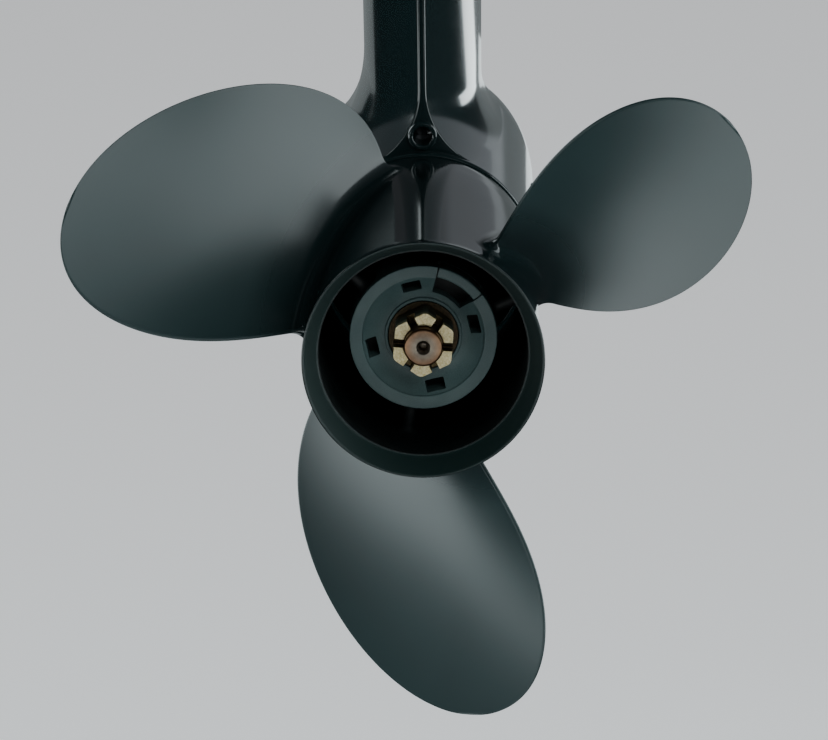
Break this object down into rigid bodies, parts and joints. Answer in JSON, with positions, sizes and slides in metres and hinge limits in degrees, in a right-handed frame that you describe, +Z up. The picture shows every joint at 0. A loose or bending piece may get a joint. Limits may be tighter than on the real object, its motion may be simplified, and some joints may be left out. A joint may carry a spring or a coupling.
{
  "type": "outboard motor gearcase with three-bladed ship propeller",
  "caption": "Streamlined outboard gearcase carrying a right-hand propeller with a through-hub exhaust, slotted nut, skeg, anti-ventilation plate and mounting flange.",
  "frame": {"origin": "on the flat top face of the mounting flange, over the leg's middle", "axes": "+Y forward along the propeller shaft, +X to starboard, +Z up out of the mounting face"},
  "size_m": [0.3195, 0.48, 0.498],
  "materials": {
    "housing_paint": "gloss",
    "blade_paint": "satin",
    "hub_composite": "matte",
    "brass": "satin",
    "stainless_steel": "machined",
    "rubber": "matte",
    "zinc": "cast"
  },
  "bodies": {
    "gearcase": {"gearcase_torpedo": "housing_paint", "exhaust_housing": "housing_paint", "leg_lower": "housing_paint", "leg_upper": "housing_paint", "skeg": "housing_paint", "anti_ventilation_plate": "housing_paint", "mounting_flange": "housing_paint", "tail_boss": "housing_paint", "bearing_carrier": "housing_paint", "shaft_seal": "rubber", "driveshaft_seal": "rubber", "water_inlet_starboard": "stainless_steel", "water_inlet_port": "stainless_steel", "drain_plug": "stainless_steel", "vent_plug": "stainless_steel", "trim_tab": "zinc", "trim_tab_bolt": "stainless_steel"},
    "propeller": {"hub_barrel": "housing_paint", "blade_starboard": "blade_paint", "blade_port": "blade_paint", "blade_lower": "blade_paint", "web_starboard": "housing_paint", "web_port": "housing_paint", "web_lower": "housing_paint", "inner_hub_ring": "hub_composite", "key_segment": "hub_composite", "hub_end_plate": "hub_composite", "rubber_bush": "rubber", "drive_sleeve": "brass", "thrust_washer": "stainless_steel", "propeller_shaft": "stainless_steel", "castle_nut": "brass", "nut_washer": "stainless_steel", "split_pin": "stainless_steel"}
  },
  "joints": [
    {"name": "propeller_spin", "type": "hinge", "parent": "gearcase", "child": "propeller", "pos_m": [0, -0.3, -0.3], "axis": [0, 1, 0], "continuous": true}
  ]
}
